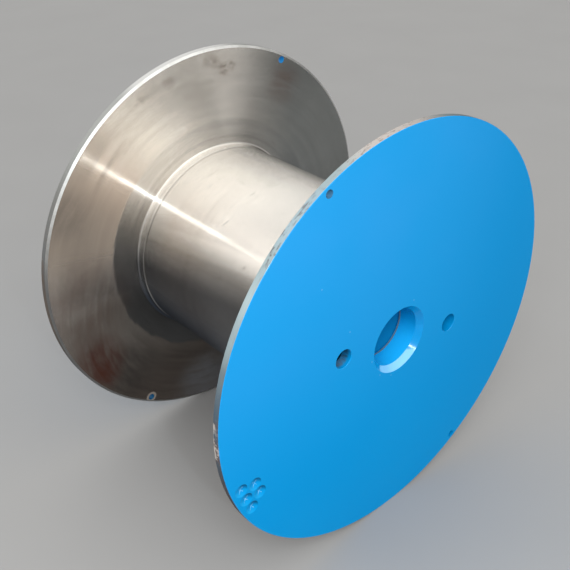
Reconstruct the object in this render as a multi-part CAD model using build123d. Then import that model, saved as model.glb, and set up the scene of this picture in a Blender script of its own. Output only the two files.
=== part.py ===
"""Steel cable drum, turned all over: two flanges, a barrel, two bored hubs and a centre tube.

The drum lies on the rims of its flanges. Its axis is Y, +Z is up, and the origin is on the axis,
halfway between the flanges. The near flange is the one towards -Y. Sizes are in millimetres.
An angle round the axis is in degrees, from +Z towards +X.
"""
import os
from math import cos, degrees, radians, sin, tan

from build123d import *

# Flanges
overall_width = 596.0
flange_diameter = 900.0
flange_thickness = 18.0
outer_edge_chamfer = 1.0
inner_edge_depth = 3.5
inner_edge_width = 5.0

# Barrel, with a low collar and a root fillet turned at each end
barrel_diameter = 450.0
barrel_wall = 12.0
collar_height = 0.5
collar_width = 17.0
collar_ramp = 3.0
root_fillet = 6.0
root_fillet_flats = 3

# Register on each flange, which centres the barrel
register_depth = 5.0

# Hubs and the tube between them
bore_diameter = 127.0
bore_length = 45.0
mouth_chamfer_width = 9.5
mouth_chamfer_depth = 13.0
hub_diameter = 180.0
hub_shoulder_diameter = 210.0
tube_diameter = 159.0
tube_wall = 8.0
tube_seat_depth = 10.0
fit_clearance = 0.15

# Drive holes, for the two driving pins of the winding machine
drive_hole_diameter = 40.0
drive_hole_circle = 320.0
drive_hole_angles = (102.1, -77.9)
drive_hole_chamfer = 1.0

# Small through holes near each rim
rim_hole_diameter = 16.0
rim_hole_inset = 14.0
near_rim_hole_angles = (-27.5, 150.5)
far_rim_hole_angles = (28.4, -147.4)

# Balance drillings in the near flange, as shallow as a blunt drill point: rows of three and two
dimple_diameter = 29.0
dimple_point_angle = 150.0
dimple_pitch = 30.6
dimple_row_spacing = 28.5
dimple_inset = 22.0
dimple_centre_angle = -111.6
dimple_row_counts = (3, 2)

# Places along the axis, worked out from the sizes above
outer_face = overall_width / 2
inner_face = outer_face - flange_thickness
register_end = inner_face - register_depth
hub_seat = outer_face - mouth_chamfer_depth
bore_end = hub_seat - bore_length
hub_end = bore_end - tube_seat_depth

# Radii
flange_radius = flange_diameter / 2
rim_hole_radius = flange_radius - rim_hole_inset
dimple_outer_row_radius = flange_radius - dimple_inset
dimple_radius = dimple_diameter / 2
dimple_slope = tan(radians(90 - dimple_point_angle / 2))
drive_hole_radius = drive_hole_circle / 2
barrel_radius = barrel_diameter / 2
barrel_inner_radius = barrel_radius - barrel_wall
collar_radius = barrel_radius + collar_height
bore_radius = bore_diameter / 2
hub_radius = hub_diameter / 2
shoulder_radius = hub_shoulder_diameter / 2
tube_radius = tube_diameter / 2


def turned(outline):
    """Turn a closed outline, drawn as (radius, place along the axis), about the axis."""
    return revolve(make_face(outline), Axis.Y, 360)


def round_the_axis(radius, angle, along):
    """The location at a radius and an angle round the axis."""
    return Pos(radius * sin(radians(angle)), along, radius * cos(radians(angle)))


def through_hole(diameter, radius, angle):
    """A cutter for a hole right through a flange and its register."""
    depth = outer_face - register_end
    place = round_the_axis(radius, angle, (outer_face + register_end) / 2)
    return place * Rot(90, 0, 0) * Cylinder(diameter / 2, 2 * depth)


def drive_hole(angle):
    """A cutter for one drive hole, with its mouth lightly chamfered at the outer face."""
    hole_radius = drive_hole_diameter / 2
    mouth = Polyline(
        (0, outer_face - drive_hole_chamfer),
        (hole_radius, outer_face - drive_hole_chamfer),
        (hole_radius + 2 * drive_hole_chamfer, outer_face + drive_hole_chamfer),
        (0, outer_face + drive_hole_chamfer),
        close=True,
    )
    countersink = round_the_axis(drive_hole_radius, angle, 0) * turned(mouth)
    return through_hole(drive_hole_diameter, drive_hole_radius, angle) + countersink


def dimple(radius, angle):
    """A cutter for one balance drilling: the cone that the drill's point leaves."""
    above = 2.0
    outline = Polyline(
        (0, outer_face - dimple_slope * dimple_radius),
        (dimple_radius + above / dimple_slope, outer_face + above),
        (0, outer_face + above),
        close=True,
    )
    return round_the_axis(radius, angle, 0) * turned(outline)


def dimple_places():
    """The radius and angle of each balance drilling, row by row."""
    step = degrees(dimple_pitch / dimple_outer_row_radius)
    places = []
    for row, count in enumerate(dimple_row_counts):
        radius = dimple_outer_row_radius - row * dimple_row_spacing
        for number in range(count):
            places.append((radius, dimple_centre_angle + (number - (count - 1) / 2) * step))
    return places


def flange(rim_hole_angles, dimples):
    """One flange, made with its outer face towards +Y.

    The bore's mouth is chamfered through a lip, and the hub sits in the recess behind it.
    """
    register_radius = barrel_inner_radius - fit_clearance
    hub_recess_radius = hub_radius + fit_clearance
    blank = turned(
        Polyline(
            (bore_radius + mouth_chamfer_width, outer_face),
            (flange_radius - outer_edge_chamfer, outer_face),
            (flange_radius, outer_face - outer_edge_chamfer),
            (flange_radius, inner_face + inner_edge_depth),
            (flange_radius - inner_edge_width, inner_face),
            (register_radius, inner_face),
            (register_radius, register_end),
            (hub_recess_radius, register_end),
            (hub_recess_radius, hub_seat),
            (bore_radius, hub_seat),
            close=True,
        )
    )
    for angle in drive_hole_angles:
        blank -= drive_hole(angle)
    for angle in rim_hole_angles:
        blank -= through_hole(rim_hole_diameter, rim_hole_radius, angle)
    for radius, angle in dimples:
        blank -= dimple(radius, angle)
    return blank


def barrel_end():
    """The outside of the barrel's +Y end, from its ramp up to the collar to the foot of its fillet."""
    fillet_centre = (collar_radius + root_fillet, inner_face - root_fillet)
    collar_end = inner_face - collar_width
    points = [(barrel_radius, collar_end - collar_ramp), (collar_radius, collar_end)]
    for number in range(root_fillet_flats + 1):
        turn = radians(90 * number / root_fillet_flats)
        radius = fillet_centre[0] - root_fillet * cos(turn)
        points.append((radius, fillet_centre[1] + root_fillet * sin(turn)))
    return points


def barrel():
    """The barrel tube. Both ends widen through a low collar and a fillet turned in a few flats."""
    far_end = barrel_end()
    near_end_points = [(radius, -along) for radius, along in reversed(far_end)]
    inside = [(barrel_inner_radius, inner_face), (barrel_inner_radius, -inner_face)]
    return turned(Polyline(*far_end, *inside, *near_end_points, close=True))


def hub():
    """One hub, made for the +Y end: bored, shouldered against the flange, with a seat for the tube."""
    tube_seat_radius = tube_radius + fit_clearance
    return turned(
        Polyline(
            (bore_radius, hub_seat),
            (hub_radius, hub_seat),
            (hub_radius, register_end),
            (shoulder_radius, register_end),
            (shoulder_radius, hub_end),
            (tube_seat_radius, hub_end),
            (tube_seat_radius, bore_end),
            (bore_radius, bore_end),
            close=True,
        )
    )


def centre_tube():
    """The tube that joins the two bores, with its ends seated in the hubs."""
    outer = Cylinder(tube_radius, 2 * bore_end)
    inner = Cylinder(tube_radius - tube_wall, 2 * bore_end)
    return Rot(90, 0, 0) * (outer - inner)


def near_end(part):
    """The same part at the other end of the drum."""
    return mirror(part, about=Plane.XZ)


nodes = {
    "flange_near": near_end(flange(near_rim_hole_angles, dimple_places())),
    "flange_far": flange(far_rim_hole_angles, []),
    "barrel": barrel(),
    "hub_near": near_end(hub()),
    "hub_far": hub(),
    "centre_tube": centre_tube(),
}

os.makedirs("parts", exist_ok=True)
for name, part in nodes.items():
    export_step(part, f"parts/{name}.step")
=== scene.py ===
import math

import bpy
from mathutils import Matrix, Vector


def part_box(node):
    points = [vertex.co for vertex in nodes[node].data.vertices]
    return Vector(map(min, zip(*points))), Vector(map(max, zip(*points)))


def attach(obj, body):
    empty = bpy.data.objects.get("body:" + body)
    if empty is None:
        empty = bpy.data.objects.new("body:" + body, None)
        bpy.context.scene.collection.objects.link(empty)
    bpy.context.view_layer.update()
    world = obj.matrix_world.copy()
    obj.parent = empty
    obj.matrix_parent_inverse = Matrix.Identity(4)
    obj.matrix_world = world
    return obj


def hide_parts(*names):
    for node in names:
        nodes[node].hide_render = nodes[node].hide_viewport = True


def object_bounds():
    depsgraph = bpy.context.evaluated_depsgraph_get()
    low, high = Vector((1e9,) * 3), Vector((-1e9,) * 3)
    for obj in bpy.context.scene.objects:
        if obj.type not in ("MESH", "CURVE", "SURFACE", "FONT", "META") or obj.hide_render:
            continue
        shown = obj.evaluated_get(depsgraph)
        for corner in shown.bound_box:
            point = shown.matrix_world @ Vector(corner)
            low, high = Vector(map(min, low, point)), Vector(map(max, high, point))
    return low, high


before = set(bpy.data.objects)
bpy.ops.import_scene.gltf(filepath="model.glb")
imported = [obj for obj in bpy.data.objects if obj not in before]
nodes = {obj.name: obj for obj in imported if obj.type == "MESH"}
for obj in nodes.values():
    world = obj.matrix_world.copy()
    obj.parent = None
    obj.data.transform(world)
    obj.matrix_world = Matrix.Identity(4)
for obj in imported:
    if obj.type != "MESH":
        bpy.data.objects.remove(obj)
cad_low, cad_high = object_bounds()

# Sizes read from the frame, in metres
flange_radius = cad_high.x
outer_face = cad_high.y
inner_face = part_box("barrel")[1].y
bore_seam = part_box("centre_tube")[1].y

# The barrel, and the ramp up to the collar at each of its ends, as the CAD has them
barrel_radius = 0.225
collar_width = 0.017
collar_ramp = 0.003

# The flange's edges, as the CAD has them, and the slack in telling its faces apart
outer_chamfer = 0.001
inner_chamfer_depth = 0.0035
inner_chamfer_width = 0.005
hair = 0.0002

# The balance drillings, in rows from the near rim inwards, as the CAD has them
drilling_radius = 0.0145
drilling_inset = 0.022
drilling_pitch = 0.0306
drilling_row_spacing = 0.0285
drilling_middle_angle = -111.6
drilling_row_counts = (3, 2)

# Turned steel: the distance between its grooves, its plain shine, and the turn that sets its highlights
# across the grooves
groove_pitch = 0.0011
steel_shine = 0.15
across_grooves = 0.25

# Camera: the place, aim and frame that put the drum where the photo has it
camera_place = Vector((-1.0500, -1.1538, 0.9824))
camera_heading = 42.83
camera_dip = 31.91
camera_lens = 53.08
camera_sensor = 36.0
camera_shift = (-0.0335, -0.0149)

# Light from the sky: its strength at the horizon and overhead, with a brighter and a dimmer side
sky_colour = (1.0, 0.99, 0.97)
seen_sky_colour = (0.38, 0.38, 0.37)
horizon_light, zenith_light, least_light = 0.33, 1.30, 0.12
sky_rise = (0.15, 0.60)
bright_side, bright_side_light = Vector((-0.35, -0.60, 0.72)), 0.25
dim_side, dim_side_light = Vector((0.90, -0.40, 0.20)), -0.35
bright_side_spread, dim_side_spread = (0.45, 0.95), (0.60, 0.95)

# Lamps: a soft box above the camera, and a small lamp below it for the thin bright line along the barrel
soft_box_place = Vector((-1.15, -1.25, 1.25))
soft_box_size = 1.0
soft_box_energy = 20.0
soft_box_colour = (1.0, 1.0, 1.0)
lamp_place = Vector((-0.985, -1.56, 0.90))
lamp_size = 0.05
lamp_energy = 4.5
lamp_colour = (0.84, 0.93, 1.0)

# Scratches on the barrel, each from one (angle, place along the axis) to another
barrel_scratches = (
    ((-8.0, 0.226), (-5.0, 0.222)),
    ((-21.0, 0.196), (-18.0, 0.192)),
    ((-27.0, 0.168), (-24.0, 0.166)),
    ((-20.0, 0.060), (-17.0, 0.057)),
    ((-41.0, 0.060), (-38.0, 0.055)),
)

# Stains on the far flange, and one painted reflection: the place, the size, its soft edge, the strength and
# the colour.
# A place is (radius, angle, place along the axis).
brown, haze_brown, tan = (0.24, 0.17, 0.12), (0.42, 0.37, 0.31), (0.24, 0.135, 0.10)
rust, soot, floor_reflection = (0.20, 0.060, 0.038), (0.07, 0.068, 0.065), (0.36, 0.38, 0.42)
flange_stains = (
    ((0.415, -14.8, 0.280), 0.004, 0.018, 0.65, brown),
    ((0.420, -20.0, 0.280), 0.002, 0.030, 0.30, brown),
    ((0.421, -24.0, 0.280), 0.004, 0.018, 0.36, brown),
    ((0.425, 0.4, 0.280), 0.005, 0.022, 0.40, brown),
    ((0.418, 2.8, 0.280), 0.003, 0.015, 0.50, brown),
    ((0.401, 5.8, 0.280), 0.005, 0.017, 0.80, brown),
    ((0.406, 8.8, 0.280), 0.003, 0.014, 0.60, brown),
    ((0.390, 33.0, 0.280), 0.010, 0.060, 0.45, tan),
    ((0.426, -64.0, 0.280), 0.020, 0.060, 0.35, soot),
    ((0.400, -4.0, 0.280), 0.030, 0.090, 0.3, haze_brown),
    ((0.400, -71.0, 0.280), 0.010, 0.080, 0.35, haze_brown),
    ((0.375, -98.0, 0.280), 0.050, 0.110, 0.5, tan),
    ((0.385, -132.0, 0.280), 0.030, 0.080, 0.6, soot),
    ((0.405, -119.0, 0.280), 0.015, 0.072, 0.90, rust),
    ((0.425, -125.0, 0.280), 0.010, 0.050, 0.70, rust),
    # Painted reflection of the floor: a blue-grey patch low on the far face.
    ((0.405, -170.0, 0.280), 0.030, 0.080, 0.8, floor_reflection),
)

# The dark ring round the barrel's root: its middle as (radius, angle), and its radius
root_ring_middle, root_ring_radius = (0.005, -50.0), 0.287

# Places with a finish of their own: chipped paint, painted shade in two rim holes, overspray and wear.
# The specks in the paint are (radius, angle).
chipped_hole = (0.436, -147.4, 0.280)
hole_shades = (
    ((0.436, -147.4, 0.290), (0.004, 0.055, 0.13)),
    ((0.436, -27.5, -0.290), (0.07, 0.16, 0.25)),
)
sprayed_rim = (0.45, -35.0, -0.290)
worn_drive_hole = (0.160, -77.9, -0.288)
paint_specks = (
    (0.0794, -100.1), (0.0795, -138.8), (0.0803, -166.6), (0.168, -58.2), (0.0858, 24.2), (0.302, -45.5)
)

# The bore's mouth has a pale painted reflection below this height
mouth_reflection_below = -0.049


def around(radius, angle, along):
    """The place at a radius and an angle round the drum's axis."""
    turn = math.radians(angle)
    return Vector((radius * math.sin(turn), along, radius * math.cos(turn)))


def drilling_places():
    """The middle of each balance drilling, at the near flange's face."""
    outer_row = flange_radius - drilling_inset
    step_angle = math.degrees(drilling_pitch / outer_row)
    places = []
    for row, count in enumerate(drilling_row_counts):
        for number in range(count):
            angle = drilling_middle_angle + (number - (count - 1) / 2) * step_angle
            places.append(around(outer_row - row * drilling_row_spacing, angle, -outer_face))
    return places


drillings = drilling_places()


class Tree:
    """The nodes of one material, with short ways to add the usual ones."""

    def __init__(self, name):
        self.material = bpy.data.materials.new(name)
        self.material.use_nodes = True
        self.links = self.material.node_tree.links
        self.nodes = self.material.node_tree.nodes
        self.shader = self.nodes["Principled BSDF"]
        self.place = self.add("TexCoord").outputs["Object"]
        split = self.add("SeparateXYZ", Vector=self.place)
        self.x, self.y, self.z = split.outputs
        self.radius = self.math("SQRT", self.math("ADD", self.power(self.x, 2), self.power(self.z, 2)))

    def feed(self, socket, value):
        """Link a socket to another, or give it a value."""
        if isinstance(value, bpy.types.NodeSocket):
            self.links.new(value, socket)
        else:
            socket.default_value = value

    def add(self, kind, settings=None, **inputs):
        """Add a node, with its settings and what feeds its inputs."""
        node = self.nodes.new("ShaderNode" + kind)
        for key, value in (settings or {}).items():
            setattr(node, key, value)
        for key, value in inputs.items():
            self.feed(node.inputs[key.replace("_", " ")], value)
        return node

    def math(self, operation, first, second=0.0, clamp=False):
        node = self.add("Math", {"operation": operation, "use_clamp": clamp})
        self.feed(node.inputs[0], first)
        self.feed(node.inputs[1], second)
        return node.outputs[0]

    def power(self, value, exponent):
        return self.math("POWER", self.math("ABSOLUTE", value), exponent)

    def vector(self, operation, first, second):
        node = self.add("VectorMath", {"operation": operation})
        self.feed(node.inputs[0], first)
        self.feed(node.inputs[1], second)
        return node

    def join(self, x, y, z):
        return self.add("CombineXYZ", X=x, Y=y, Z=z).outputs[0]

    def rise(self, value, low, high, bottom=0.0, top=1.0):
        """A smooth step of value from low to high."""
        node = self.add("MapRange", {"interpolation_type": "SMOOTHSTEP"})
        self.feed(node.inputs["Value"], value)
        self.feed(node.inputs["From Min"], low)
        self.feed(node.inputs["From Max"], high)
        self.feed(node.inputs["To Min"], bottom)
        self.feed(node.inputs["To Max"], top)
        return node.outputs["Result"]

    def band(self, value, middle, half, soft):
        """One inside a band of value, fading to nothing over a soft edge."""
        away = self.math("ABSOLUTE", self.math("SUBTRACT", value, middle))
        return self.rise(away, half, half + soft, 1.0, 0.0)

    def noise(self, vector, scale, detail=2.0, roughness=0.5, warp=0.0):
        node = self.add(
            "TexNoise", Vector=vector, Scale=scale, Detail=detail, Roughness=roughness, Distortion=warp
        )
        return node.outputs["Fac"]

    def mix(self, factor, first, second, blend="MIX"):
        """A mix of two colours."""
        node = self.add("Mix", {"data_type": "RGBA", "blend_type": blend})
        self.feed(node.inputs[0], factor)
        for socket, colour in ((node.inputs[6], first), (node.inputs[7], second)):
            self.feed(socket, colour if isinstance(colour, bpy.types.NodeSocket) else (*colour, 1.0))
        return node.outputs[2]

    def blend(self, factor, first, second):
        """A mix of two numbers."""
        node = self.add("Mix", {"data_type": "FLOAT"})
        self.feed(node.inputs[0], factor)
        self.feed(node.inputs[2], first)
        self.feed(node.inputs[3], second)
        return node.outputs[0]

    def times(self, *values):
        """The product of several numbers."""
        product = values[0]
        for value in values[1:]:
            product = self.math("MULTIPLY", product, value)
        return product

    def stretched(self, across, along, radial):
        """A vector for noise that runs round the axis: fine across the turned marks, long round them."""
        reach = self.math("MAXIMUM", self.radius, 0.001)
        side = self.times(self.math("DIVIDE", self.x, reach), across)
        height = self.times(self.math("DIVIDE", self.z, reach), across)
        place_along = self.math("MULTIPLY", self.y, along)
        return self.join(side, place_along, self.math("ADD", height, self.times(self.radius, radial)))

    def spot(self, place, size, soft):
        """One within a distance of a place, fading to nothing over a soft edge."""
        gap = self.vector("DISTANCE", self.place, place).outputs["Value"]
        return self.rise(gap, size, size + soft, 1.0, 0.0)

    def line(self, start, end, width, place=None):
        """One along a straight line between two places, fading out at its sides."""
        run = end - start
        reach = self.vector("SUBTRACT", place or self.place, start).outputs["Vector"]
        share = self.vector("DOT_PRODUCT", reach, run / run.length_squared).outputs["Value"]
        share = self.math("MINIMUM", self.math("MAXIMUM", share, 0.0), 1.0)
        foot = self.add("VectorMath", {"operation": "SCALE"}, Scale=share)
        self.feed(foot.inputs[0], run)
        gap = self.vector("DISTANCE", reach, foot.outputs["Vector"]).outputs["Value"]
        return self.rise(gap, width / 2, width, 1.0, 0.0)

    def bump(self, height, strength, distance):
        node = self.add("Bump", Strength=strength, Distance=distance, Height=height)
        return node.outputs["Normal"]

    def grey(self, value, offset):
        """A grey colour from a number plus an offset."""
        level = self.math("ADD", value, offset)
        return self.join(level, level, level)

    def grooved(self, distance, across, slope):
        """The normal over fine grooves side by side: mostly level, and steepest at their crests."""
        share = self.math("FRACT", self.math("DIVIDE", distance, groove_pitch))
        lean = self.math("SUBTRACT", self.times(share, 2.0), 1.0)
        tilt = self.add("VectorMath", {"operation": "SCALE"}, Scale=self.times(lean, lean, lean, slope))
        self.feed(tilt.inputs[0], across)
        normal = self.add("NewGeometry").outputs["Normal"]
        leaning = self.vector("ADD", normal, tilt.outputs["Vector"]).outputs["Vector"]
        return self.vector("NORMALIZE", leaning, (0, 0, 0)).outputs["Vector"]

    def turn(self):
        """The angle round the axis, in degrees."""
        return self.math("DEGREES", self.math("ARCTAN2", self.x, self.z))

    def outward(self):
        """The direction straight away from the axis."""
        reach = self.math("MAXIMUM", self.radius, 0.001)
        return self.join(self.math("DIVIDE", self.x, reach), 0.0, self.math("DIVIDE", self.z, reach))

    def finish(self, **inputs):
        """Feed the shader's sockets and give back the material."""
        for key, value in inputs.items():
            self.feed(self.shader.inputs[key.replace("_", " ")], value)
        return self.material


def turned_steel(name, base, dark, roughness, anisotropy, marks, depth):
    """Bare turned steel. Its fine marks run round the axis, so its highlights run across them.

    Gives back the tree, the colour, the roughness and the fine marks.
    """
    tree = Tree(name)
    fine = tree.noise(tree.stretched(0.6, marks[0], marks[1]), 1.0, 3.0, 0.6)
    broad = tree.noise(tree.stretched(0.3, marks[0] / 12, marks[1] / 12), 1.0, 2.0, 0.5)
    cloud = tree.noise(tree.place, 7.0, 3.0, 0.55, 0.4)
    colour = tree.mix(tree.rise(cloud, 0.35, 0.7), base, dark)
    streak = tree.math("ADD", tree.times(fine, 0.3), tree.times(broad, 0.2))
    colour = tree.mix(depth, colour, tree.grey(streak, 0.75), "MULTIPLY")
    rough = tree.math("ADD", tree.times(broad, 0.08), roughness)
    tangent = tree.add("Tangent", {"direction_type": "RADIAL", "axis": "Y"}).outputs[0]
    tree.feed(tree.shader.inputs["Tangent"], tangent)
    tree.shader.inputs["Specular IOR Level"].default_value = steel_shine
    tree.shader.inputs["Anisotropic"].default_value = anisotropy
    tree.shader.inputs["Anisotropic Rotation"].default_value = across_grooves
    return tree, colour, rough, fine


def barrel_steel():
    """The barrel: warm grey turned steel, with its marks round it and a few scratches, and painted light and
    shade: a lighter top, two painted highlight bands, and a darker side and underside.
    """
    tree, colour, rough, _ = turned_steel(
        "barrel steel", (0.87, 0.835, 0.785), (0.82, 0.78, 0.73), 0.13, 1.0, (900.0, 0.0), 0.5
    )
    level = tree.math("ADD", tree.z, tree.times(tree.y, 0.12))
    # Painted light: the top of the barrel is lighter, standing in for the bright sky it mirrors.
    crown_light = tree.rise(tree.z, 0.17, 0.225)
    colour = tree.mix(tree.times(crown_light, 0.8), colour, (0.97, 0.93, 0.86))
    # Painted shade: the side is dark below a line along the barrel.
    side = tree.rise(level, 0.04, 0.126, 1.0, 0.0)
    colour = tree.mix(tree.times(side, 0.88), colour, (0.085, 0.090, 0.10))
    # Painted highlight: a pale band along the barrel just above the dark side.
    flank_highlight = tree.band(level, 0.130, 0.010, 0.012)
    colour = tree.mix(tree.times(flank_highlight, 0.9), colour, (1.0, 0.96, 0.90))
    # Painted shade: the underside is near black.
    underside_shade = tree.rise(tree.z, -0.10, 0.02, 1.0, 0.0)
    colour = tree.mix(tree.times(underside_shade, 0.85), colour, (0.014, 0.024, 0.042))
    bands = tree.noise(tree.stretched(0.2, 170.0, 0.0), 1.0, 3.0, 0.7)
    colour = tree.mix(0.3, colour, tree.grey(tree.times(bands, 0.4), 0.8), "MULTIPLY")
    # Painted shade: the top is darker towards the near flange.
    near_top_shade = tree.times(tree.rise(tree.y, -0.20, 0.16, 1.0, 0.0), tree.rise(tree.z, 0.165, 0.20))
    colour = tree.mix(tree.times(near_top_shade, 0.6), colour, (0.45, 0.445, 0.435))
    for start, end in barrel_scratches:
        mark = tree.line(around(barrel_radius, *start), around(barrel_radius, *end), 0.0015)
        colour = tree.mix(tree.times(mark, 0.4), colour, (0.18, 0.16, 0.14))
    end = tree.math("ABSOLUTE", tree.y)
    ramp_middle = inner_face - collar_width - collar_ramp / 2
    # Painted highlight: a bright line where the barrel slopes up to each collar.
    ramp_highlight = tree.band(end, ramp_middle, 0.0010, 0.001)
    colour = tree.mix(tree.times(ramp_highlight, 0.45), colour, (1.0, 0.98, 0.94))
    # A darker line a little further along the barrel from each collar's slope.
    ramp_dark_line = tree.band(end, ramp_middle - 1.5 * collar_ramp, 0.0018, 0.0015)
    colour = tree.mix(tree.times(ramp_dark_line, 0.35), colour, (0.30, 0.27, 0.24))
    pits = tree.rise(tree.noise(tree.place, 75.0, 3.0, 0.6), 0.68, 0.73)
    colour = tree.mix(tree.times(pits, 0.5), colour, (0.26, 0.22, 0.19))
    metallic = tree.math("MINIMUM", tree.blend(underside_shade, 1.0, 0.3), tree.blend(crown_light, 1.0, 0.78))
    normal = tree.grooved(tree.y, (0, 1, 0), 1.1)
    return tree.finish(Base_Color=colour, Metallic=metallic, Roughness=rough, Normal=normal)


def root_ring(tree, swept, low):
    """One inside the dark ring round the barrel's root. Its edge is uneven low down."""
    middle = around(*root_ring_middle, 0.0)
    reach = tree.vector("DISTANCE", tree.join(tree.x, 0.0, tree.z), middle).outputs["Value"]
    reach = tree.math("ADD", reach, tree.times(tree.math("SUBTRACT", swept, 0.5), low, 0.03))
    return tree.rise(reach, root_ring_radius - 0.006, root_ring_radius + 0.002, 1.0, 0.0)


def stained(tree, colour, haze, smear):
    """The far flange's stains and its painted reflection over a colour: wide ones as haze, small ones broken
    into flecks.
    """
    for place, size, soft, strength, stain in flange_stains:
        patch = tree.rise(haze, 0.25, 0.62) if soft > 0.04 else tree.rise(smear, 0.36, 0.66)
        spot = tree.times(tree.spot(around(*place), size, soft), patch, strength)
        colour = tree.mix(spot, colour, stain)
    return colour


def flange_steel():
    """The flanges' inner faces: turned steel with marks in rings, a darker band round the root and stains,
    with painted shade low down and on the right and a painted reflection.
    """
    tree, colour, rough, fine = turned_steel(
        "flange steel", (0.86, 0.815, 0.75), (0.80, 0.75, 0.685), 0.12, 1.0, (0.0, 611.0), 0.7
    )
    turn = tree.turn()
    arcs = tree.noise(tree.stretched(1.4, 0.0, 42.0), 1.0, 3.0, 0.6)
    smear = tree.noise(tree.place, 130.0, 4.0, 0.8, 0.5)
    swept = tree.noise(tree.stretched(7.0, 0.0, 55.0), 1.0, 4.0, 0.6, 0.4)
    haze = tree.noise(tree.place, 11.0, 4.0, 0.6, 0.6)
    haze = tree.times(tree.math("ADD", haze, swept), 0.5)
    low = tree.rise(tree.z, -0.10, 0.20, 1.0, 0.0)
    ring = root_ring(tree, swept, low)
    inner_ring = tree.band(tree.radius, 0.247, 0.0015, 0.004)
    colour = tree.mix(tree.times(inner_ring, 0.15), colour, (0.24, 0.21, 0.19))
    left = tree.times(tree.band(turn, -64.0, 8.0, 26.0), tree.math("SUBTRACT", 1.0, ring))
    colour = tree.mix(tree.times(left, 0.65), colour, (0.56, 0.42, 0.31))
    # Painted shade: the face is darker towards the bottom.
    shade = tree.rise(tree.z, -0.34, 0.14, 1.0, 0.0)
    colour = tree.mix(tree.times(shade, 0.87), colour, (0.115, 0.086, 0.072))
    # Painted shade: the right side is darker and greyer.
    right = tree.rise(tree.x, 0.02, 0.26)
    colour = tree.mix(tree.times(right, 0.74), colour, (0.155, 0.185, 0.195))
    colour = tree.mix(tree.times(ring, tree.blend(low, 0.20, 0.82)), colour, (0.145, 0.155, 0.165))
    colour = tree.mix(tree.blend(shade, 0.35, 0.8), colour, tree.grey(tree.times(arcs, 1.0), 0.5), "MULTIPLY")
    colour = stained(tree, colour, haze, smear)
    chipped = tree.math("ADD", tree.spot(around(*chipped_hole), 0.011, 0.007), tree.times(smear, 0.6))
    chipped = tree.rise(chipped, 0.75, 1.0)
    colour = tree.mix(tree.times(chipped, 0.85), colour, (0.36, 0.32, 0.28))
    dulled_ring = tree.band(tree.radius, 0.376, 0.001, 0.009)
    dulled = tree.math("MAXIMUM", dulled_ring, tree.rise(tree.radius, 0.392, 0.412))
    dulled = tree.times(dulled, tree.band(turn, -46.0, 3.0, 9.0), 0.42)
    colour = tree.mix(dulled, colour, (0.34, 0.30, 0.25))
    top = tree.band(turn, -4.0, 10.0, 20.0)
    dull = tree.math("MAXIMUM", tree.times(top, 0.22), tree.times(left, 0.30))
    dull = tree.math("MAXIMUM", dull, tree.times(chipped, 0.7))
    worn = tree.rise(tree.radius, 0.34, 0.44)
    rough = tree.math("ADD", tree.math("ADD", rough, tree.times(worn, 0.05)), tree.times(fine, 0.04))
    metallic = tree.math("SUBTRACT", 1.0, dull)
    normal = tree.grooved(tree.radius, tree.outward(), 1.0)
    return tree.finish(Base_Color=colour, Metallic=metallic, Roughness=rough, Normal=normal)


def edge_steel():
    """The chamfer round each inner face: clean bright steel, with painted shade low down."""
    tree = Tree("edge steel")
    patch = tree.noise(tree.place, 30.0, 3.0, 0.6)
    colour = tree.mix(tree.rise(patch, 0.35, 0.65), (0.90, 0.90, 0.88), (0.74, 0.74, 0.72))
    # Painted shade: the chamfer is dark low down.
    shade = tree.rise(tree.z, 0.02, 0.22, 1.0, 0.0)
    colour = tree.mix(tree.times(shade, 0.85), colour, (0.14, 0.14, 0.14))
    tree.shader.inputs["Metallic"].default_value = 1.0
    return tree.finish(Base_Color=colour, Roughness=tree.math("ADD", tree.times(patch, 0.1), 0.36))


def drilling_painted_light(tree, colour):
    """The balance drillings over a colour: painted shade on one side, painted light on the other, and a
    broken painted highlight across each.
    """
    flat = tree.join(tree.x, 0.0, tree.z)
    speck = tree.rise(tree.noise(tree.place, 420.0, 2.0), 0.35, 0.6)
    sunk = tree.rise(tree.y, -outer_face, 0.0003 - outer_face)
    for middle in drillings:
        inside = tree.times(tree.spot(middle, drilling_radius, 0.0015), sunk)
        offset = tree.vector("SUBTRACT", tree.place, middle).outputs["Vector"]
        slope = tree.vector("DOT_PRODUCT", offset, (0.6, 0.0, 0.8)).outputs["Value"]
        # Painted shade on the upper side of each drilling, and painted light on its lower side.
        dark = tree.rise(slope, 0.15 * drilling_radius, 0.9 * drilling_radius)
        colour = tree.mix(tree.times(inside, dark, 0.85), colour, (0.0, 0.070, 0.18))
        light = tree.rise(slope, -0.9 * drilling_radius, 0.0, 1.0, 0.0)
        colour = tree.mix(tree.times(inside, light, 0.5), colour, (0.02, 0.40, 0.80))
        foot = Vector((middle.x, 0, middle.z))
        for run in (Vector((0.0045, 0.0, -0.0045)), Vector((0.004, 0.0, 0.0065))):
            # Painted highlight: broken bright lines across the middle.
            painted_glint = tree.line(foot - run, foot + run, 0.0009, flat)
            colour = tree.mix(tree.times(inside, painted_glint, speck, 0.55), colour, (0.45, 0.70, 0.82))
    return colour


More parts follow.
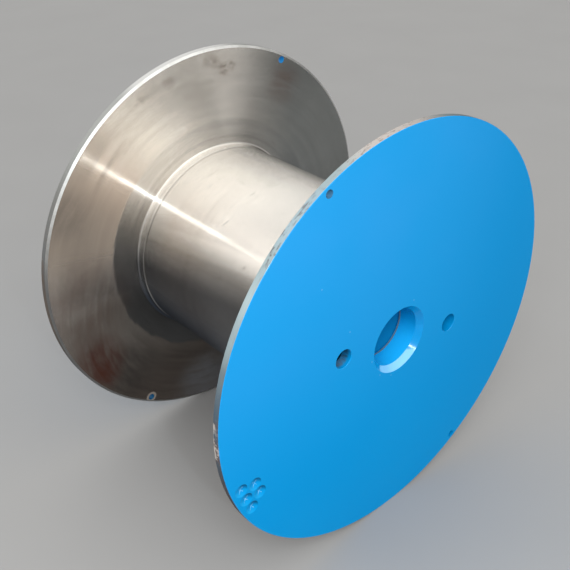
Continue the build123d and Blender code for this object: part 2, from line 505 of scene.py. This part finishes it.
def face_enamel():
    """Smooth satin sky-blue enamel on the flat faces, with painted light towards the top and painted shade
    towards the right.
    """
    tree = Tree("face enamel")
    cloud = tree.noise(tree.place, 4.0, 2.0, 0.5)
    # Painted light: lighter towards the top.
    height = tree.rise(tree.z, -0.25, 0.35)
    colour = tree.mix(height, (0.0, 0.295, 0.690), (0.022, 0.320, 0.735))
    colour = tree.mix(tree.times(tree.rise(cloud, 0.3, 0.7), 0.4), colour, (0.004, 0.315, 0.710))
    # Painted shade: darker towards the right.
    colour = tree.mix(tree.times(tree.rise(tree.x, 0.05, 0.40), 0.6), colour, (0.0, 0.283, 0.665))
    colour = drilling_painted_light(tree, colour)
    for radius, angle in paint_specks:
        speck = tree.spot(around(radius, angle, -outer_face), 0.0006, 0.0012)
        colour = tree.mix(tree.times(speck, 0.5), colour, (0.35, 0.65, 0.85))
    skin = tree.bump(tree.noise(tree.place, 260.0, 2.0, 0.5), 0.04, 0.0004)
    rough = tree.math("ADD", tree.times(cloud, 0.06), 0.38)
    tree.shader.inputs["Specular IOR Level"].default_value = 0.04
    return tree.finish(Base_Color=colour, Roughness=rough, Normal=skin)


def hollow_enamel():
    """The same enamel inside the bore and the holes, and on the hubs and the tube.

    It leaves the seam behind the bore unpainted, and the back of one drive hole is worn to the metal.
    Low in the bore it is lighter, as painted light; two rim holes and the top of the worn hole are darker, as
    painted shade.
    """
    tree = Tree("hollow enamel")
    cloud = tree.noise(tree.place, 18.0, 3.0, 0.55)
    colour = tree.mix(tree.rise(cloud, 0.3, 0.7), (0.0, 0.235, 0.57), (0.0, 0.27, 0.63))
    bored = tree.rise(tree.radius, 0.068, 0.072, 1.0, 0.0)
    # Painted light: the lower part of the bore is lighter.
    bore_painted_light = tree.rise(tree.z, -0.045, 0.025, 1.0, 0.0)
    colour = tree.mix(tree.times(bored, bore_painted_light), colour, (0.01, 0.43, 0.93))
    tube = tree.band(tree.radius, 0.0715, 0.002, 0.001)
    colour = tree.mix(tube, colour, (0.004, 0.30, 0.68))
    seam = tree.band(tree.math("ABSOLUTE", tree.y), bore_seam + 0.002, 0.0012, 0.0008)
    colour = tree.mix(tree.times(seam, 0.85), colour, (0.17, 0.17, 0.15))
    # Painted shade: the insides of two rim holes are darker.
    for place, tint in hole_shades:
        colour = tree.mix(tree.times(tree.spot(around(*place), 0.014, 0.002), 0.8), colour, tint)
    worn = tree.times(tree.spot(around(*worn_drive_hole), 0.022, 0.004), tree.rise(tree.y, -0.294, -0.286))
    grain = tree.join(tree.times(tree.x, 120.0), tree.times(tree.y, 60.0), tree.times(tree.z, 1100.0))
    grain = tree.blend(tree.rise(tree.noise(grain, 1.0, 3.0), 0.40, 0.60), 0.55, 0.95)
    # Worn to the metal, and darker towards the hole's top as painted shade.
    worn_and_shaded = tree.mix(tree.rise(tree.z, 0.012, 0.026), (0.085, 0.150, 0.220), (0.016, 0.062, 0.115))
    colour = tree.mix(tree.times(worn, grain), colour, worn_and_shaded)
    skin = tree.bump(tree.noise(tree.place, 90.0, 2.0, 0.5), 0.08, 0.0006)
    rough = tree.math("ADD", tree.times(cloud, 0.10), 0.28)
    tree.shader.inputs["Specular IOR Level"].default_value = 0.25
    return tree.finish(Base_Color=colour, Roughness=rough, Normal=skin)


def glossy_enamel():
    """The same enamel where it lies thick and glossy: on the bore's mouth and along the outer edges, with a
    painted reflection low in the mouth.
    """
    tree = Tree("glossy enamel")
    cloud = tree.noise(tree.place, 18.0, 3.0, 0.55)
    colour = tree.mix(tree.rise(cloud, 0.3, 0.7), (0.0, 0.27, 0.64), (0.0, 0.29, 0.68))
    mouth = tree.rise(tree.radius, 0.08, 0.09, 1.0, 0.0)
    low = tree.rise(tree.z, mouth_reflection_below - 0.003, mouth_reflection_below + 0.002, 1.0, 0.0)
    left = tree.rise(tree.x, -0.056, -0.046)
    # Painted reflection: the mouth is pale blue low down.
    colour = tree.mix(tree.times(mouth, low, left, 0.8), colour, (0.27, 0.64, 0.98))
    skin = tree.bump(tree.noise(tree.place, 90.0, 2.0, 0.5), 0.10, 0.0006)
    rough = tree.math("ADD", tree.times(cloud, 0.10), 0.16)
    tree.shader.inputs["Specular IOR Level"].default_value = 0.05
    tree.shader.inputs["Coat Weight"].default_value = 0.6
    tree.shader.inputs["Coat Roughness"].default_value = 0.17
    return tree.finish(Base_Color=colour, Roughness=rough, Normal=skin)


def rim_dirt_and_shade(tree, turn, near, far, patch, fleck):
    """The colour of the rims where they are dirty and in painted shade, and where the near one's colour there
    is pale.

    It is bluish on the near rim, with one pale stretch and a brown one, and brown on the far rim, darker
    lower down as painted shade.
    """
    # Painted shade: the far rim's colour is darker lower down.
    far_dirt_and_shade = tree.mix(tree.rise(tree.z, -0.30, 0.0), (0.075, 0.07, 0.07), (0.13, 0.11, 0.095))
    dirt_and_shade = tree.mix(far, (0.075, 0.115, 0.155), far_dirt_and_shade)
    dirt_and_shade = tree.mix(tree.times(tree.rise(patch, 0.45, 0.60), 0.5), dirt_and_shade, (0.075, 0.105, 0.13))
    dirt_and_shade = tree.mix(tree.times(tree.rise(fleck, 0.60, 0.68), 0.5), dirt_and_shade, (0.36, 0.35, 0.32))
    dirt_and_shade = tree.mix(tree.times(tree.rise(fleck, 0.30, 0.40, 1.0, 0.0), 0.7), dirt_and_shade, (0.06, 0.045, 0.04))
    pale = tree.times(tree.band(turn, -62.0, 6.0, 12.0), near)
    dirt_and_shade = tree.mix(pale, dirt_and_shade, (0.115, 0.155, 0.185))
    brown_end = tree.times(tree.rise(turn, -104.0, -93.0, 1.0, 0.0), near, 0.7)
    return tree.mix(brown_end, dirt_and_shade, (0.085, 0.066, 0.060)), pale


def bruised_rim(tree, colour, turn, near, patch, fleck):
    """The near rim's damage over a colour: a scuffed stretch, a scraped one, and a bruised one low down."""
    grit = tree.noise(tree.stretched(40.0, 240.0, 0.0), 1.0, 3.0, 0.7)
    scuffed = tree.times(tree.band(turn, -39.0, 6.0, 8.0), near, tree.rise(grit, 0.54, 0.62))
    scraped = tree.times(tree.band(turn, -8.0, 12.0, 8.0), near, tree.rise(grit, 0.52, 0.66))
    colour = tree.mix(tree.times(scuffed, 0.75), colour, (0.13, 0.10, 0.10))
    colour = tree.mix(tree.times(scraped, 0.6), colour, (0.22, 0.15, 0.12))
    bruised = tree.times(tree.band(turn, -89.5, 4.0, 3.0), near, tree.rise(patch, 0.35, 0.55))
    bruise = tree.mix(tree.rise(fleck, 0.47, 0.55), (0.16, 0.12, 0.11), (0.62, 0.57, 0.52))
    return tree.mix(tree.times(bruised, 0.8), colour, bruise)


def rim_steel():
    """The flanges' rims: turned steel where it is clean, with dirty patches, scuffs and blue overspray,
    painted light at the top and painted shade lower down.
    """
    tree, colour, rough, _ = turned_steel(
        "rim steel", (0.40, 0.495, 0.52), (0.36, 0.455, 0.485), 0.34, 0.9, (700.0, 0.0), 0.8
    )
    turn = tree.turn()
    patch = tree.noise(tree.place, 16.0, 4.0, 0.6)
    fleck = tree.noise(tree.place, 70.0, 4.0, 0.7)
    far = tree.rise(tree.y, -0.1, 0.1)
    near = tree.math("SUBTRACT", 1.0, far)
    colour = tree.mix(tree.times(far, 0.7), colour, (0.42, 0.39, 0.36))
    # Painted light: the tops of both rims are lighter.
    colour = tree.mix(tree.times(tree.band(turn, -9.0, 13.0, 8.0), far), colour, (0.66, 0.66, 0.65))
    colour = tree.mix(tree.times(tree.band(turn, -5.0, 7.0, 12.0), near), colour, (0.60, 0.555, 0.525))
    dirt_and_shade, pale = rim_dirt_and_shade(tree, turn, near, far, patch, fleck)
    # Dirty and in painted shade: the lower part of each rim takes the darker colour.
    shade = tree.rise(tree.math("ADD", tree.z, tree.times(patch, 0.12)), 0.10, 0.35, 1.0, 0.0)
    sprayed = tree.times(tree.spot(around(*sprayed_rim), 0.045, 0.035), tree.rise(patch, 0.30, 0.50))
    colour = tree.mix(shade, colour, dirt_and_shade)
    colour = tree.mix(tree.times(sprayed, 0.5), colour, (0.25, 0.35, 0.42))
    colour = bruised_rim(tree, colour, turn, near, patch, fleck)
    dull = tree.math("MAXIMUM", tree.math("MAXIMUM", shade, tree.times(sprayed, 0.7)), tree.times(pale, 0.8))
    metallic = tree.blend(dull, 1.0, 0.08)
    rough = tree.blend(dull, rough, 0.75)
    normal = tree.grooved(tree.y, (0, 1, 0), 0.3)
    return tree.finish(Base_Color=colour, Metallic=metallic, Roughness=rough, Normal=normal)


# Which part of a flange a face belongs to
PAINTED, HOLLOW, GLOSSY, TURNED, EDGE, RIM = range(6)


def flange_zone(centre, normal):
    """The zone of one face of a flange, by where it lies and which way it faces."""
    radius = math.hypot(centre.x, centre.z)
    depth = outer_face - abs(centre.y)
    thickness = outer_face - inner_face
    flat = abs(normal.y) > 0.9
    slanted = 0.3 < abs(normal.y) <= 0.9
    if flat and depth > thickness - hair:
        return TURNED
    behind = depth > thickness - inner_chamfer_depth - hair
    if slanted and behind and radius > flange_radius - inner_chamfer_width:
        return EDGE
    if radius > flange_radius - 2 * outer_chamfer and not flat and not slanted:
        return RIM
    drilled = any((centre - place).length < 1.2 * drilling_radius for place in drillings)
    if flat and depth < hair or drilled:
        return PAINTED
    return GLOSSY if slanted else HOLLOW


def dressed_flange(node, name, materials):
    """A copy of a flange whose faces take their materials by zone. It stands for the CAD node."""
    piece = bpy.data.objects.new(name, nodes[node].data.copy())
    bpy.context.scene.collection.objects.link(piece)
    piece.data.materials.clear()
    for material in materials:
        piece.data.materials.append(material)
    for face in piece.data.polygons:
        face.material_index = flange_zone(face.center, face.normal)
    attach(piece, "root")
    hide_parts(node)
    return piece


def dress(node, material):
    """Give a CAD node one material."""
    slots = nodes[node].data.materials
    slots.clear()
    slots.append(material)


flange_materials = (
    face_enamel(), hollow_enamel(), glossy_enamel(), flange_steel(), edge_steel(), rim_steel()
)
dressed_flange("flange_near", "near_flange", flange_materials)
dressed_flange("flange_far", "far_flange", flange_materials)
dress("barrel", barrel_steel())
for name in ("hub_near", "hub_far", "centre_tube"):
    dress(name, flange_materials[HOLLOW])


def backdrop():
    """A plain pale floor, as low as the drum's lowest point."""
    tree = Tree("floor")
    colour = tree.mix(tree.noise(tree.place, 3.0), (0.29, 0.29, 0.29), (0.31, 0.31, 0.31))
    bpy.ops.mesh.primitive_plane_add(size=40, location=(0, 0, cad_low.z))
    floor = bpy.context.object
    floor.name = "floor"
    floor.data.materials.append(tree.finish(Base_Color=colour, Roughness=0.85))


def step(tree, value, reach, levels):
    """A smooth step of a value over a reach, between two levels, in the sky's nodes."""
    node = tree.nodes.new("ShaderNodeMapRange")
    node.interpolation_type = "SMOOTHSTEP"
    tree.links.new(value, node.inputs["Value"])
    node.inputs["From Min"].default_value, node.inputs["From Max"].default_value = reach
    node.inputs["To Min"].default_value, node.inputs["To Max"].default_value = levels
    return node.outputs["Result"]


def sky():
    """Soft light from all round: bright overhead, dimmer towards the horizon, with a bright and a dim side.

    The camera sees it as a plain grey.
    """
    world = bpy.data.worlds.new("world")
    bpy.context.scene.world = world
    world.use_nodes = True
    tree = world.node_tree
    background = tree.nodes["Background"]
    place = tree.nodes.new("ShaderNodeTexCoord").outputs["Generated"]
    split = tree.nodes.new("ShaderNodeSeparateXYZ")
    tree.links.new(place, split.inputs[0])
    strength = step(tree, split.outputs["Z"], sky_rise, (horizon_light, zenith_light))
    sides = (
        (bright_side, bright_side_spread, bright_side_light),
        (dim_side, dim_side_spread, dim_side_light),
    )
    for direction, spread, light in sides:
        towards = tree.nodes.new("ShaderNodeVectorMath")
        towards.operation = "DOT_PRODUCT"
        tree.links.new(place, towards.inputs[0])
        towards.inputs[1].default_value = direction.normalized()
        total = tree.nodes.new("ShaderNodeMath")
        tree.links.new(strength, total.inputs[0])
        tree.links.new(step(tree, towards.outputs["Value"], spread, (0.0, light)), total.inputs[1])
        strength = total.outputs[0]
    least = tree.nodes.new("ShaderNodeMath")
    least.operation = "MAXIMUM"
    tree.links.new(strength, least.inputs[0])
    least.inputs[1].default_value = least_light
    tree.links.new(least.outputs[0], background.inputs["Strength"])
    background.inputs["Color"].default_value = (*sky_colour, 1)
    plain = tree.nodes.new("ShaderNodeBackground")
    plain.inputs["Color"].default_value = (*seen_sky_colour, 1)
    seen = tree.nodes.new("ShaderNodeMixShader")
    tree.links.new(tree.nodes.new("ShaderNodeLightPath").outputs["Is Camera Ray"], seen.inputs["Fac"])
    tree.links.new(background.outputs[0], seen.inputs[1])
    tree.links.new(plain.outputs[0], seen.inputs[2])
    tree.links.new(seen.outputs[0], tree.nodes["World Output"].inputs["Surface"])


def round_lamp(name, place, size, energy, colour):
    """A round lamp aimed at the drum's middle."""
    light = bpy.data.lights.new(name, "AREA")
    light.shape = "DISK"
    light.size = size
    light.energy = energy
    light.color = colour
    lamp = bpy.data.objects.new(name, light)
    bpy.context.scene.collection.objects.link(lamp)
    lamp.location = place
    lamp.rotation_euler = (-place).to_track_quat("-Z", "Y").to_euler()
    return lamp


def make_camera():
    """The camera, at the photo's place and aim, with the photo's frame."""
    camera = bpy.data.objects.new("camera", bpy.data.cameras.new("camera"))
    bpy.context.scene.collection.objects.link(camera)
    camera.location = camera_place
    camera.rotation_euler = (math.radians(90 - camera_dip), 0, math.radians(-camera_heading))
    camera.data.lens = camera_lens
    camera.data.sensor_width = camera_sensor
    camera.data.shift_x, camera.data.shift_y = camera_shift
    bpy.context.scene.camera = camera


backdrop()
sky()
round_lamp("soft box", soft_box_place, soft_box_size, soft_box_energy, soft_box_colour).visible_glossy = False
round_lamp("small lamp", lamp_place, lamp_size, lamp_energy, lamp_colour)
make_camera()
bpy.context.scene.view_settings.view_transform = "Standard"
